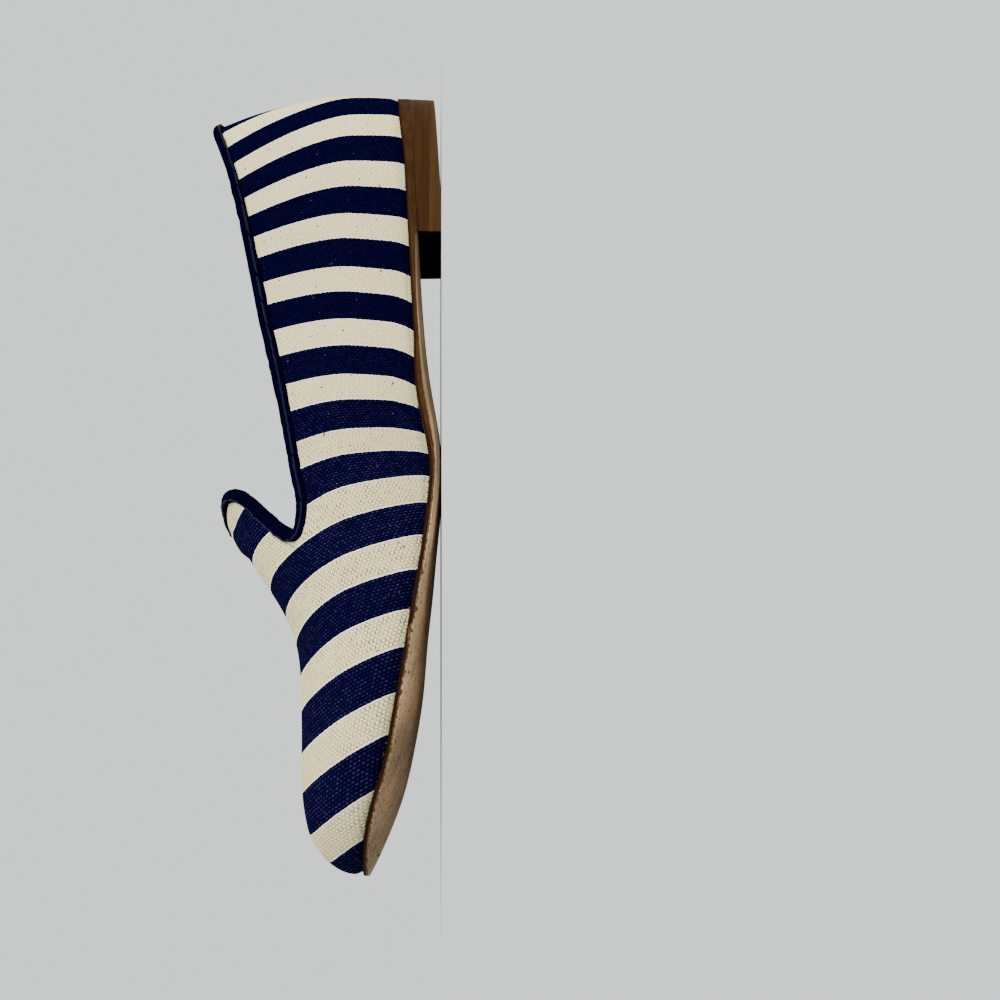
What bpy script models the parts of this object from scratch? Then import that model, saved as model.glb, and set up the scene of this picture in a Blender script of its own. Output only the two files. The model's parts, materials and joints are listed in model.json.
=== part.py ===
"""Canvas slipper loafer, left shoe.

A hollow canvas upper in one piece, with a rounded tongue tab at the throat and a bound topline,
stands on a thin leather outsole with a low stacked heel.  All shapes come from one last: sections
that run from the feather line round the foot up to its ridge, cut off along the topline.

Tables are in millimetres; the scene is in metres.  +X runs to the toe, +Y to the outer (lateral)
side, +Z up.  The floor is z = 0, and the origin is under the middle of the shoe.
"""
from collections import namedtuple
from math import radians

import bmesh
import bpy
import numpy as np

for old in list(bpy.data.objects):
    bpy.data.objects.remove(old, do_unlink=True)

MM = 0.001

# ---------------------------------------------------------------- driving sizes (mm)
LENGTH = 262.0           # last, with room for the sole's edge; the shoe comes out 260 long
BALL_WIDTH = 80.0        # feather line at the ball
INSTEP_HEIGHT = 72.8     # ridge of the last at the throat, above the floor
HEEL_HEIGHT = 13.7       # feather line at the back of the heel
TOE_SPRING = 25.3        # feather line at the tip of the toe

WALL = 2.0               # canvas and lining together
GAP = 0.3                # between pieces that lie on each other
BINDING_RADIUS = 1.5     # rolled tape on the topline
INSOLE_THICKNESS = 2.4
SOLE_THICKNESS = 3.0
SOLE_REACH = 0.9         # how far the sole's edge stands outside the canvas
EDGE_BEVEL = 0.3         # lower edge of the sole over the heel, where it stays square
WAIST_BEVEL = 2.0        # the same at the waist
TREAD_BEVEL = 2.4        # the same under the forefoot, where walking has rounded it most
HEEL_LENGTH = 56.3
BREAST_HOLLOW = 2.5      # how far the front of the heel curves in
TOP_PIECE_THICKNESS = 3.8
HEEL_TAPER = 0.6         # how far the heel draws in towards the floor
HEEL_WEAR = 2.5          # how far the back edge of the heel is worn off the floor
WEAR_LENGTH = 43.5       # length of that worn slope

# ---------------------------------------------------------------- the last
# One row for each section of the last, from the back seam to the toe.
#   along, out     foot of the section on the feather line: % of LENGTH, % of BALL_WIDTH
#   lift           height of the feather line above the floor
#   belly          how far the wall swells outwards over the feather line
#   lean, reach    slope of the section at the ridge, degrees from upright, and how far it is held
#   crown          how far the sole hollows down between its two edges
Section = namedtuple("Section", "name along out lift belly lean reach crown")

LATERAL = [
    Section("back_seam", 1.15, 0.0, HEEL_HEIGHT, 1.5, 41, 32, 0.0),
    Section("counter", 4.0, 20.5, 13.5, 3.5, 66, 28, 0.1),
    Section("seat", 12.9, 34.5, 12.0, 4.5, 88, 24, 0.2),
    Section("shank", 25.9, 36.3, 10.1, 4.0, 90, 27, 0.3),
    Section("arch", 38.1, 39.0, 7.8, 4.0, 88, 25, 1.0),
    Section("waist", 47.6, 42.2, 4.0, 4.5, 84, 20, 1.4),
    Section("throat", 55.2, 46.0, 4.9, 4.5, 75, 16, 1.4),
    Section("instep", 60.5, 48.4, 6.8, 4.5, 76, 18, 1.6),
    Section("vamp", 65.8, 50.0, 9.2, 4.5, 84, 21, 2.6),
    Section("ball", 71.7, 49.8, 11.7, 4.5, 88, 23, 3.4),
    Section("tread", 78.2, 46.6, 14.8, 4.3, 90, 24, 5.0),
    Section("toe_joint", 85.2, 39.5, 18.5, 4.0, 90, 23, 5.6),
    Section("toe_side", 92.7, 26.5, 23.8, 3.0, 90, 16, 5.5),
    Section("toe_tip", 99.7, -5.0, TOE_SPRING, 2.2, 90, 9, 0.0),
]
MEDIAL = [
    Section("counter", 4.0, -20.0, 13.5, 3.5, 66, 28, 0.1),
    Section("seat", 12.9, -33.0, 12.0, 4.5, 88, 24, 0.2),
    Section("shank", 25.9, -32.0, 10.4, 5.0, 90, 27, 0.3),
    Section("arch", 38.1, -30.0, 8.4, 6.5, 92, 25, 1.0),
    Section("waist", 47.6, -33.0, 5.2, 6.5, 96, 20, 1.4),
    Section("throat", 55.2, -38.3, 4.8, 6.0, 105, 16, 1.4),
    Section("instep", 60.5, -42.5, 6.0, 5.5, 104, 18, 1.6),
    Section("vamp", 65.8, -46.0, 8.2, 5.0, 96, 21, 2.6),
    Section("ball", 71.7, -48.5, 10.6, 4.6, 92, 23, 3.4),
    Section("tread", 78.2, -48.4, 13.6, 4.4, 90, 24, 5.0),
    Section("toe_joint", 85.2, -42.6, 17.2, 4.0, 90, 23, 5.6),
    Section("toe_side", 93.0, -31.0, 22.6, 3.0, 90, 16, 5.5),
]

# Upper end of each of those sections: the ridge of the last. Behind the tongue tab it is the cone
# of the last, above the opening.
Ridge = namedtuple("Ridge", "name along out rise")

RIDGE = [
    Ridge("back_seam", 9.9, 0.0, 90.0),
    Ridge("counter", 12.0, 0.0, 97.0),
    Ridge("seat", 15.2, 0.0, 103.0),
    Ridge("shank", 27.4, 0.0, 96.0),
    Ridge("arch", 39.6, 0.0, 88.0),
    Ridge("waist", 48.2, -0.5, 78.5),
    Ridge("throat", 54.6, -1.5, INSTEP_HEIGHT),
    Ridge("instep", 59.6, -3.0, 66.0),
    Ridge("vamp", 64.6, -3.5, 57.0),
    Ridge("ball", 70.5, -4.0, 48.6),
    Ridge("tread", 77.0, -4.3, 46.4),
    Ridge("toe_joint", 83.0, -4.5, 46.0),
    Ridge("toe_side", 89.5, -5.0, 45.8),
    Ridge("toe_tip", 94.2, -5.6, 44.0),
]
LOOP = LATERAL + MEDIAL[::-1]
TOE_TIP = len(LATERAL) - 1

# One row for each stretch of the topline, from the back seam to the tip of the tongue tab.
#   section        section of the last it lies on at the lateral side, as a row number in LATERAL
#   level          share of the way up that section, 1 on the ridge
#   medial         how many sections further forward the edge lies at the medial side
#   foot           section on the feather line where the column of faces under it starts
Edge = namedtuple("Edge", "name section level medial foot")

TOPLINE = [
    Edge("back_seam", 0.0, 0.755, 0.0, 0.0),
    Edge("counter", 0.8, 0.656, 0.0, 0.9),
    Edge("seat", 1.7, 0.494, 0.0, 1.8),
    Edge("shank", 2.6, 0.430, 0.0, 2.7),
    Edge("arch", 3.6, 0.416, 0.0, 3.7),
    Edge("waist", 4.5, 0.422, 0.0, 4.6),
    Edge("quarter", 5.5, 0.440, 0.0, 5.6),
    Edge("throat_back", 6.25, 0.462, 0.0, 6.4),
    Edge("throat_low", 6.67, 0.489, 0.0, 7.0),
    Edge("throat", 6.83, 0.535, 0.03, 7.4),
    Edge("tab_root", 6.72, 0.593, 0.08, 7.9),
    Edge("tab_side", 6.30, 0.670, 0.33, 8.5),
    Edge("tab_shoulder", 5.96, 0.745, 0.50, 9.1),
    Edge("tab_curve", 5.86, 0.850, 0.43, 9.6),
    Edge("tab_tip", 6.02, 1.0, 0.0, 10.0),
]
TAB_TIP = len(TOPLINE) - 1
RIDGE_ROWS = 6           # rows' worth of columns along the ridge, from the tab to the toe
STEPS = 4                # columns of faces from one row of a table to the next
WALL_ROWS = 9            # rows of faces from the feather line to the top
SOLE_STRIPS = 6          # strips of faces across the sole


def spline(points, closed):
    """Smooth cubic curve through the points, with one whole number of its parameter for each."""
    points = np.array(points, float)
    count = len(points)
    matrix = np.zeros((count, count))
    pull = np.zeros_like(points)
    for i in range(count):
        before, after = (i - 1) % count, (i + 1) % count
        if not closed:
            before, after = max(i - 1, 0), min(i + 1, count - 1)
        matrix[i, i] = 4 if closed or before < i < after else 1
        matrix[i, before] += 1
        matrix[i, after] += 1
        pull[i] = 3 * (points[after] - points[before])
    speed = np.linalg.solve(matrix, pull)

    def at(t):
        start = int(np.floor(t)) if closed else min(int(t), count - 2)
        f = t - start
        a, b = start % count, (start + 1) % count
        return (points[a] * (1 + 2 * f) * (1 - f) ** 2 + speed[a] * f * (1 - f) ** 2
                + points[b] * f * f * (3 - 2 * f) - speed[b] * f * f * (1 - f))

    return at


foot_curve = spline([(row.along * LENGTH / 100, row.out * BALL_WIDTH / 100, row.lift) for row in LOOP], True)
ridge_points = [(row.along * LENGTH / 100, row.out * BALL_WIDTH / 100, row.rise) for row in RIDGE]
mirrored_ridge = spline([ridge_points[1]] + ridge_points, False)
shape_curve = spline([(row.belly, row.lean, row.reach, row.crown) for row in LOOP], True)


def ridge_curve(t):
    """Ridge at section t; it turns round at the back seam, so that both sides meet without a crease."""
    return mirrored_ridge(t + 1)


def edge_curve(side):
    """Section, level and foot along one side of the topline, run on past its ends into the other side."""
    near, far = [[(row.section + row.medial * shift, row.level, row.foot) for row in TOPLINE]
                 for shift in ((0, 1) if side > 0 else (1, 0))]
    before, beyond, tip = far[1], far[-2], near[-1]
    return spline([(-before[0], before[1], -before[2])] + near
                  + [(beyond[0], 2 - beyond[1], 2 * tip[2] - beyond[2])], False)


EDGES = {side: edge_curve(side) for side in (1, -1)}


# ---------------------------------------------------------------- reading the last
# A place on the last is a side, +1 lateral or -1 medial, and t, its section number in LATERAL.
def loop_place(t, side):
    return t if side > 0 else len(LOOP) - t


def outward(t, side):
    """Level unit vector square to the feather line, pointing away from the foot."""
    place = loop_place(t, side)
    run = foot_curve(place + 0.01) - foot_curve(place - 0.01)
    normal = np.array([-run[1], run[0], 0.0])
    return normal / np.linalg.norm(normal)


def ridge_slope(t):
    """Rise of the ridge for each unit forwards."""
    run = ridge_curve(min(t + 0.01, TOE_TIP)) - ridge_curve(max(t - 0.01, 0))
    return run[2] / run[0]


def last_point(t, side, v):
    """Point on section t of the last, v from 0 at the feather line to 1 at the ridge."""
    foot = foot_curve(loop_place(t, side))
    ridge = ridge_curve(t)
    belly, lean, reach, _ = shape_curve(loop_place(t, side))
    out = outward(t, side)
    up = np.array([0.0, 0.0, 1.0])
    down_wall = out * np.sin(radians(lean)) - up * np.cos(radians(lean))
    down_wall[2] += ridge_slope(t) * down_wall[0] * np.clip(t - 4, 0, 1)
    low = foot + out * belly + up * 0.38 * (ridge - foot)[2]
    high = ridge + down_wall * reach
    return foot * (1 - v) ** 3 + 3 * low * v * (1 - v) ** 2 + 3 * high * v * v * (1 - v) + ridge * v ** 3


def last_normal(t, side, v):
    """Unit vector square to the last, pointing out; both sides share it where they meet."""
    total = np.zeros(3)
    shared = t <= 0 or t >= TOE_TIP or v >= 1
    if t >= TOE_TIP:
        v = min(v, 0.98)
    for face in (1, -1) if shared else (side,):
        along = last_point(min(t + 0.01, TOE_TIP), face, v) - last_point(max(t - 0.01, 0), face, v)
        upwards = last_point(t, face, v + 0.001) - last_point(t, face, v - 0.001)
        square = np.cross(upwards, along) * face
        total += square / np.linalg.norm(square)
    return total / np.linalg.norm(total)


def column_ends(p, side):
    """Section at the foot, section at the top and level of the top of column p of the wall.

    Up to TAB_TIP, p is a row number in TOPLINE; from there it counts on along the ridge to the toe.
    """
    section, level, foot = EDGES[side](min(p, TAB_TIP) + 1)
    share = max(p - TAB_TIP, 0) / RIDGE_ROWS
    return foot + (TOE_TIP - foot) * share, section + (TOE_TIP - section) * share, level


def wall_point(p, side, w, depth=0.0):
    """Point of the upper in column p, w from 0 at the feather line to 1 at its top."""
    foot, top, level = column_ends(p, side)
    t, v = foot + (top - foot) * w ** 2, level * w
    return last_point(t, side, v) - last_normal(t, side, v) * depth


def crown(t, side):
    return shape_curve(loop_place(t, side))[3]


def sole_point(t, across, reach, drop):
    """Point under the foot; across runs from 1 at the lateral edge to -1 at the medial edge."""
    edges = [foot_curve(loop_place(t, side)) + outward(t, side) * reach for side in (1, -1)]
    point = edges[0] * (1 + across) / 2 + edges[1] * (1 - across) / 2
    point[2] -= drop + crown(t, 1) * (1 - across ** 2)
    return point


# ---------------------------------------------------------------- meshes
def material(name, colour, roughness):
    finish = bpy.data.materials.new(name)
    finish.use_nodes = True
    shader = finish.node_tree.nodes["Principled BSDF"]
    shader.inputs["Base Color"].default_value = (*colour, 1.0)
    shader.inputs["Roughness"].default_value = roughness
    shader.inputs["Metallic"].default_value = 0.0
    return finish


def add_grid(mesh, rows):
    """Faces between rows of points; points of a row that coincide are merged later."""
    verts = [[mesh.verts.new((point - CENTRE) * MM) for point in row] for row in rows]
    for row, following in zip(verts, verts[1:]):
        for j in range(len(row) - 1):
            mesh.faces.new((row[j], row[j + 1], following[j + 1], following[j]))


def finish_object(mesh, name, finish):
    bmesh.ops.remove_doubles(mesh, verts=mesh.verts, dist=0.02 * MM)
    bmesh.ops.recalc_face_normals(mesh, faces=mesh.faces)
    data = bpy.data.meshes.new(name)
    mesh.to_mesh(data)
    mesh.free()
    data.materials.append(finish)
    data.shade_smooth()
    data.set_sharp_from_angle(angle=radians(40))
    piece = bpy.data.objects.new(name, data)
    bpy.context.scene.collection.objects.link(piece)
    return piece


def stations(last, steps=STEPS):
    return np.linspace(0, last, int(round(last * steps)) + 1)


def floored(point):
    """The tread is flat where it meets the floor."""
    return np.array([point[0], point[1], max(point[2], 0.0)])


def make_upper():
    """Outer and inner skin of the wall, closed along the topline and along the feather line."""
    mesh = bmesh.new()
    heights = np.linspace(0, 1, WALL_ROWS + 1)
    columns = stations(TAB_TIP + RIDGE_ROWS)
    for side in (1, -1):
        skins = [[[wall_point(p, side, w, depth) for w in heights] for p in columns] for depth in (0, WALL)]
        for skin in skins:
            add_grid(mesh, skin)
        add_grid(mesh, [[skin[i][0] for skin in skins] for i in range(len(columns))])
        add_grid(mesh, [[skin[i][-1] for skin in skins] for i in range(TAB_TIP * STEPS + 1)])
    return finish_object(mesh, "upper", material("striped canvas", (0.55, 0.52, 0.46), 0.85))


def make_plate(name, finish, profile):
    """Closed plate under the whole foot; profile(t) lists (reach, drop) from its top face down."""
    mesh = bmesh.new()
    across = np.linspace(1, -1, SOLE_STRIPS + 1)
    for face in (0, -1):
        add_grid(mesh, [[floored(sole_point(t, a, *profile(t)[face])) for a in across]
                        for t in stations(TOE_TIP)])
    for side in (1, -1):
        add_grid(mesh, [[floored(sole_point(t, side, *corner)) for corner in profile(t)]
                        for t in stations(TOE_TIP)])
    return finish_object(mesh, name, finish)


def make_insole():
    reach = -(WALL + GAP)

    def profile(t):
        return [(reach, -INSOLE_THICKNESS), (reach, 0.0)]

    return make_plate("insole", material("insole leather", (0.62, 0.47, 0.32), 0.6), profile)


def sole_profile(t):
    """Edge of the sole: square over the heel, more and more rounded below towards the tread."""
    bevel = np.interp(t, (BREAST, BREAST + 0.5, WAIST, BALL),
                      (EDGE_BEVEL, WAIST_BEVEL, WAIST_BEVEL, TREAD_BEVEL))
    upright = SOLE_THICKNESS - bevel * 0.55
    return [(SOLE_REACH, GAP), (SOLE_REACH, GAP + upright), (SOLE_REACH - bevel, GAP + SOLE_THICKNESS)]


def heel_point(step, across, reach):
    """Point under the heel; step runs from 0 at its back to 1 at its breast, which is hollow."""
    point = sole_point(step * BREAST, across, reach, 2 * GAP + SOLE_THICKNESS)
    point[0] -= BREAST_HOLLOW * (1 - across ** 2) * step ** 3
    return point


def worn_floor(x):
    """Height of the heel's lower face: on the floor, but for the worn slope at the back."""
    depth = max(HEEL_BACK + WEAR_LENGTH - x, 0.0) / WEAR_LENGTH
    return HEEL_WEAR * depth


def make_lift(name, finish, top_height, bottom_height):
    """One layer of the heel; the heights are functions of a point under the sole."""
    mesh = bmesh.new()
    across = np.linspace(1, -1, SOLE_STRIPS + 1)
    steps = np.linspace(0, 1, int(round(BREAST * STEPS)) + 1)

    def place(step, a, height):
        under_sole = heel_point(step, a, SOLE_REACH - EDGE_BEVEL)
        z = height(under_sole)
        taper = HEEL_TAPER * (1 - z / HEEL_HEIGHT)
        point = heel_point(step, a, SOLE_REACH - EDGE_BEVEL - taper)
        return np.array([point[0], point[1], z])

    grids = [[[place(step, a, height) for a in across] for step in steps]
             for height in (top_height, bottom_height)]
    for grid in grids:
        add_grid(mesh, grid)
    for edge in (0, -1):
        add_grid(mesh, [[grid[i][edge] for grid in grids] for i in range(len(steps))])
    add_grid(mesh, [grid[-1] for grid in grids])
    return finish_object(mesh, name, finish)


def make_heel():
    leather = material("heel leather", (0.16, 0.08, 0.035), 0.5)
    joint = TOP_PIECE_THICKNESS
    make_lift("heel_lift", leather, lambda p: p[2], lambda p: joint + GAP)
    make_lift("top_piece", leather, lambda p: joint, lambda p: worn_floor(p[0]))


def edge_point(q):
    """Canvas edge; q runs forwards along the lateral side to TAB_TIP, then back along the medial side."""
    q %= 2 * TAB_TIP
    return wall_point(q, 1, 1.0) if q <= TAB_TIP else wall_point(2 * TAB_TIP - q, -1, 1.0)


def binding_point(q):
    """Centre of the rolled tape, standing on the middle of the wall's edge in line with the wall."""
    side = 1 if q <= TAB_TIP else -1
    _, t, level = column_ends(min(q, 2 * TAB_TIP - q), side)
    normal = last_normal(t, side, level)
    rise = np.cross(edge_point(q + 0.02) - edge_point(q - 0.02), normal)
    rise /= np.linalg.norm(rise)
    return edge_point(q) + rise * (BINDING_RADIUS + GAP) - normal * WALL / 2


def make_binding():
    route = [binding_point(q) for q in stations(2 * TAB_TIP)[:-1]]
    curve = bpy.data.curves.new("topline_binding", "CURVE")
    curve.dimensions = "3D"
    curve.bevel_depth = BINDING_RADIUS * MM
    curve.bevel_resolution = 2
    spline_data = curve.splines.new("POLY")
    spline_data.points.add(len(route) - 1)
    for target, point in zip(spline_data.points, route):
        target.co = (*((point - CENTRE) * MM), 1.0)
    spline_data.use_cyclic_u = True
    curve.materials.append(material("navy tape", (0.008, 0.012, 0.05), 0.8))
    binding = bpy.data.objects.new("topline_binding", curve)
    bpy.context.scene.collection.objects.link(binding)
    return binding


# ---------------------------------------------------------------- the shoe
NAMES = [row.name for row in LATERAL]
WAIST, BALL = NAMES.index("waist"), NAMES.index("ball")
HEEL_BACK = foot_curve(0)[0] - SOLE_REACH
RIM = [sole_point(t, across, SOLE_REACH, GAP)[:2] for t in stations(TOE_TIP) for across in (1, -1)]
CENTRE = np.array([*(np.min(RIM, axis=0) + np.max(RIM, axis=0)) / 2, 0.0])
BREAST = np.interp(HEEL_LENGTH, [foot_curve(t)[0] for t in stations(WAIST)], stations(WAIST))

make_upper()
make_binding()
make_insole()
make_plate("outsole", material("sole leather", (0.34, 0.23, 0.13), 0.6), sole_profile)
make_heel()
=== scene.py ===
import math
import random
from collections import namedtuple

import bmesh
import bpy
import numpy as np
from mathutils import Matrix, Vector, noise
from mathutils.bvhtree import BVHTree
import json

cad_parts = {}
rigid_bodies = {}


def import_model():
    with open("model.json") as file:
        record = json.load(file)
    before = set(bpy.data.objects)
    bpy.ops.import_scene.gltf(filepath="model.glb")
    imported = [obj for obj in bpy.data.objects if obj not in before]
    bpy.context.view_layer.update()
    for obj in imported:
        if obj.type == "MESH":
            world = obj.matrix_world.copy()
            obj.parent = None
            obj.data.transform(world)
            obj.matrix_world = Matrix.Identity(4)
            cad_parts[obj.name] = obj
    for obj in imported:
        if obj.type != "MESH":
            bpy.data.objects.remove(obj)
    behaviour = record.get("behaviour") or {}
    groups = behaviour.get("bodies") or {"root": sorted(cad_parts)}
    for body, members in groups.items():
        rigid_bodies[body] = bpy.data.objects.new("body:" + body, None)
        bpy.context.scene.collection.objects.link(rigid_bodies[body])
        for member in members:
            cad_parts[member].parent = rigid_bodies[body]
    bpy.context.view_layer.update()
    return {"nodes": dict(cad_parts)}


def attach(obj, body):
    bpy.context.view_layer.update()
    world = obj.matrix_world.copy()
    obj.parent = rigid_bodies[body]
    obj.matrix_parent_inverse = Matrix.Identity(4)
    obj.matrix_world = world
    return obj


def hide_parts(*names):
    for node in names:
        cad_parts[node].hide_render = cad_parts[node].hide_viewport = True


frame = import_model()
MM = 0.001


# Studio ----------------------------------------------------------------------
# A pale level floor that meets a plain backdrop of its own tone. A strong soft lamp shines from
# above the heel, weaker ones from the side and from above, and the camera looks at the lateral
# side from just above the floor, rolled so that the toe hangs down.
def pick(*things):
    """Selects only these objects, with the first one active."""
    bpy.ops.object.select_all(action="DESELECT")
    for thing in things:
        thing.select_set(True)
    bpy.context.view_layer.objects.active = things[0]


def new_material(name):
    """A new node material, as the material, its node tree and its shader."""
    made = bpy.data.materials.new(name)
    made.use_nodes = True
    tree = made.node_tree
    return made, tree, tree.nodes["Principled BSDF"]


paper, tree, shader = new_material("floor_paper")
shader.inputs["Base Color"].default_value = (0.528, 0.543, 0.535, 1)
shader.inputs["Roughness"].default_value = 1.0
shader.inputs["Specular IOR Level"].default_value = 0.0

bpy.ops.mesh.primitive_circle_add(vertices=96, radius=60, fill_type="NGON", location=(0, 0, 0))
floor = bpy.context.object
floor.name = "studio_floor"
floor.data.materials.append(paper)

world = bpy.data.worlds.new("studio")
world.use_nodes = True
air = world.node_tree
surround = air.nodes["Background"]
surround.inputs["Color"].default_value = (0.93, 0.97, 1.0, 1)
surround.inputs["Strength"].default_value = 0.66
backdrop = air.nodes.new("ShaderNodeBackground")
backdrop.inputs["Color"].default_value = (0.96, 1.0, 0.985, 1)
backdrop.inputs["Strength"].default_value = 1.13
seen = air.nodes.new("ShaderNodeLightPath")
either = air.nodes.new("ShaderNodeMixShader")
air.links.new(seen.outputs["Is Camera Ray"], either.inputs["Fac"])
air.links.new(surround.outputs["Background"], either.inputs[1])
air.links.new(backdrop.outputs["Background"], either.inputs[2])
air.links.new(either.outputs["Shader"], air.nodes["World Output"].inputs["Surface"])
bpy.context.scene.world = world


def lamp(name, place, spread, strength, tint):
    """A far lamp that shines from place towards the shoe, as soft as its spread in degrees."""
    light = bpy.data.lights.new(name, "SUN")
    light.angle = math.radians(spread)
    light.energy = strength
    light.color = tint
    stand = bpy.data.objects.new(name, light)
    bpy.context.collection.objects.link(stand)
    stand.location = place
    stand.rotation_euler = Vector(place).to_track_quat("Z", "Y").to_euler()


lamp("key_lamp", (-0.95, 0.95, 1.05), 34, 5.0, (1.0, 0.985, 0.95))
lamp("front_lamp", (0.12, 1.0, 0.08), 50, 2.2, (1.0, 0.99, 0.97))
lamp("top_lamp", (0.2, -0.7, 1.3), 60, 1.5, (0.94, 0.98, 1.0))

lens = bpy.data.cameras.new("camera")
lens.lens = 43.2
lens.shift_x = 0.065
lens.clip_start = 0.0005
camera = bpy.data.objects.new("camera", lens)
bpy.context.collection.objects.link(camera)
camera.location = (0.04155, 0.39801, 0.002)
turn = math.radians(5)
right = Vector((0, 0, -1))
back = Vector((math.sin(turn), math.cos(turn), 0))
camera.rotation_euler = Matrix((right, back.cross(right), back)).transposed().to_euler()
bpy.context.scene.camera = camera


# Canvas ----------------------------------------------------------------------
# The outside of the shoe: striped cotton canvas in plain weave, navy on unbleached cream, cut
# so that the stripes run across the foot. It is closed at the back seam, pulled over the last
# and turned in under the insole.
def copy_of(node, name):
    """A CAD node's own shape as one closed mesh of quads, ready for editing."""
    piece = bpy.data.objects.new(name, frame["nodes"][node].data.copy())
    bpy.context.collection.objects.link(piece)
    pick(piece)
    bpy.ops.mesh.customdata_custom_splitnormals_clear()
    bpy.ops.object.mode_set(mode="EDIT")
    bpy.ops.mesh.select_mode(type="FACE")
    bpy.ops.mesh.select_all(action="SELECT")
    bpy.ops.mesh.remove_doubles(threshold=0.02 * MM)
    bpy.ops.mesh.tris_convert_to_quads(face_threshold=math.radians(60),
                                       shape_threshold=math.radians(60))
    bpy.ops.mesh.select_all(action="DESELECT")
    bpy.ops.object.mode_set(mode="OBJECT")
    piece.data.materials.clear()
    return piece


def select_faces(piece, wanted):
    """Leaves edit mode's selection on the faces whose centre and normal pass the test."""
    bpy.ops.object.mode_set(mode="OBJECT")
    for face in piece.data.polygons:
        face.select = bool(wanted(face.center, face.normal))
    bpy.ops.object.mode_set(mode="EDIT")


def keep_skin(piece, spot, bend=50):
    """Keeps only the smooth skin of a shell that passes nearest to spot, and drops the rest."""
    nearest = min(piece.data.polygons, key=lambda face: (face.center - Vector(spot)).length).index
    bpy.ops.object.mode_set(mode="EDIT")
    bpy.ops.mesh.select_mode(type="EDGE")
    bpy.ops.mesh.edges_select_sharp(sharpness=math.radians(bend))
    bpy.ops.mesh.mark_sharp()
    bpy.ops.mesh.select_mode(type="FACE")
    bpy.ops.mesh.select_all(action="DESELECT")
    bpy.ops.object.mode_set(mode="OBJECT")
    piece.data.polygons[nearest].select = True
    bpy.ops.object.mode_set(mode="EDIT")
    bpy.ops.mesh.select_linked(delimit={"SHARP"})
    bpy.ops.mesh.select_all(action="INVERT")
    bpy.ops.mesh.delete(type="FACE")
    bpy.ops.mesh.select_all(action="SELECT")
    bpy.ops.mesh.mark_sharp(clear=True)
    bpy.ops.object.mode_set(mode="OBJECT")


def smooth_out(piece, levels):
    """Rounds the mesh with an applied subdivision surface and shades it smooth."""
    pick(piece)
    finer = piece.modifiers.new("finer", "SUBSURF")
    finer.levels = finer.render_levels = levels
    finer.boundary_smooth = "PRESERVE_CORNERS"
    bpy.ops.object.modifier_apply(modifier=finer.name)
    bpy.ops.object.shade_smooth()


def pull(piece, wanted, move, reach):
    """Drags the wanted vertices by move, with all that lies within reach following softly."""
    pick(piece)
    bpy.ops.object.mode_set(mode="EDIT")
    bpy.ops.mesh.select_mode(type="VERT")
    bpy.ops.mesh.select_all(action="DESELECT")
    bpy.ops.object.mode_set(mode="OBJECT")
    for point in piece.data.vertices:
        point.select = bool(wanted(point.co))
    bpy.ops.object.mode_set(mode="EDIT")
    bpy.ops.transform.translate(value=move, use_proportional_edit=True,
                                proportional_edit_falloff="SMOOTH", proportional_size=reach)
    bpy.ops.object.mode_set(mode="OBJECT")


def push(piece, middle, reach, move, wanted=lambda point: True):
    """Moves the wanted points softly, by move at middle and by nothing at reach from there; all in
    mm."""
    for point in filter(wanted, piece.data.vertices):
        share = max(1 - ((point.co / MM - Vector(middle)).length / reach) ** 2, 0) ** 2
        point.co += Vector(move) * MM * share


def set_throat(piece):
    """Leans the tab's inner half forward and lowers its tip, opens the notch in front of the
    collar, and lowers the collar on both sides and at the back."""
    push(piece, (15, -11, 69), 15, (5.0, -0.5, 0.6))
    push(piece, (10, -3, 73), 22, (0, 0, -1.3))
    push(piece, (11, 27.5, 44), 13, (0, 0.1, -1.7))
    push(piece, (-31, 28, 49), 24, (0, 0, -0.9))
    push(piece, (-31, -28, 49), 24, (0, 0, -0.9))
    push(piece, (-108, 0, 68), 60, (0, 0, -1.7))


def set_rim(piece, wanted=lambda point: True):
    """Raises the line where canvas and sole meet, on both sides of the arch and behind the heel,
    by moving the wanted points."""
    push(piece, (-22, 34, 6), 24, (0, 0, 1.5), wanted)
    push(piece, (-20, -22, 6), 24, (0, 0, 1.0), wanted)
    push(piece, (-122, 12, 21), 30, (0, 0, 1.0), wanted)


# The back seam's place to the side of the middle and the reach of its line, in mm; and in metres,
# where the back begins, and a level between the canvas's borders at the sole and the topline.
BACK_SEAM = -0.465
SEAM_REACH = 0.3
AT_BACK = -0.09
BETWEEN_BORDERS = 0.035


def at_seam(spot):
    """Whether a spot lies on the line of the back seam."""
    return spot.x < AT_BACK and abs(spot.y / MM - BACK_SEAM) < SEAM_REACH


def on_seam(edge):
    """Whether an edge lies along the back seam."""
    return all(at_seam(end.co) for end in edge.verts)


def low_border(edge):
    """Whether an edge of a skin's border is at the sole."""
    return max(end.co.z for end in edge.verts) < BETWEEN_BORDERS and not on_seam(edge)


def top_border(edge):
    """Whether an edge of a skin's border is at the topline."""
    return min(end.co.z for end in edge.verts) > BETWEEN_BORDERS and not on_seam(edge)


def tuck_in(piece, reach, depth):
    """Rolls the wall in towards its lower border, by depth at the border itself, in mm."""
    spots = points_of(piece)
    mesh = bmesh.new()
    mesh.from_mesh(piece.data)
    mesh.verts.ensure_lookup_table()
    rim = [edge for edge in mesh.edges if edge.is_boundary and not on_seam(edge)]
    border = spots[[end.index for edge in rim for end in edge.verts if end.co.z < BETWEEN_BORDERS]]
    for point in mesh.verts:
        gap = np.sqrt(((border - spots[point.index]) ** 2).sum(1).min())
        if gap < reach:
            point.co -= point.normal * (depth * (1 - gap / reach) ** 2 * MM)
    mesh.to_mesh(piece.data)
    mesh.free()


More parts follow.
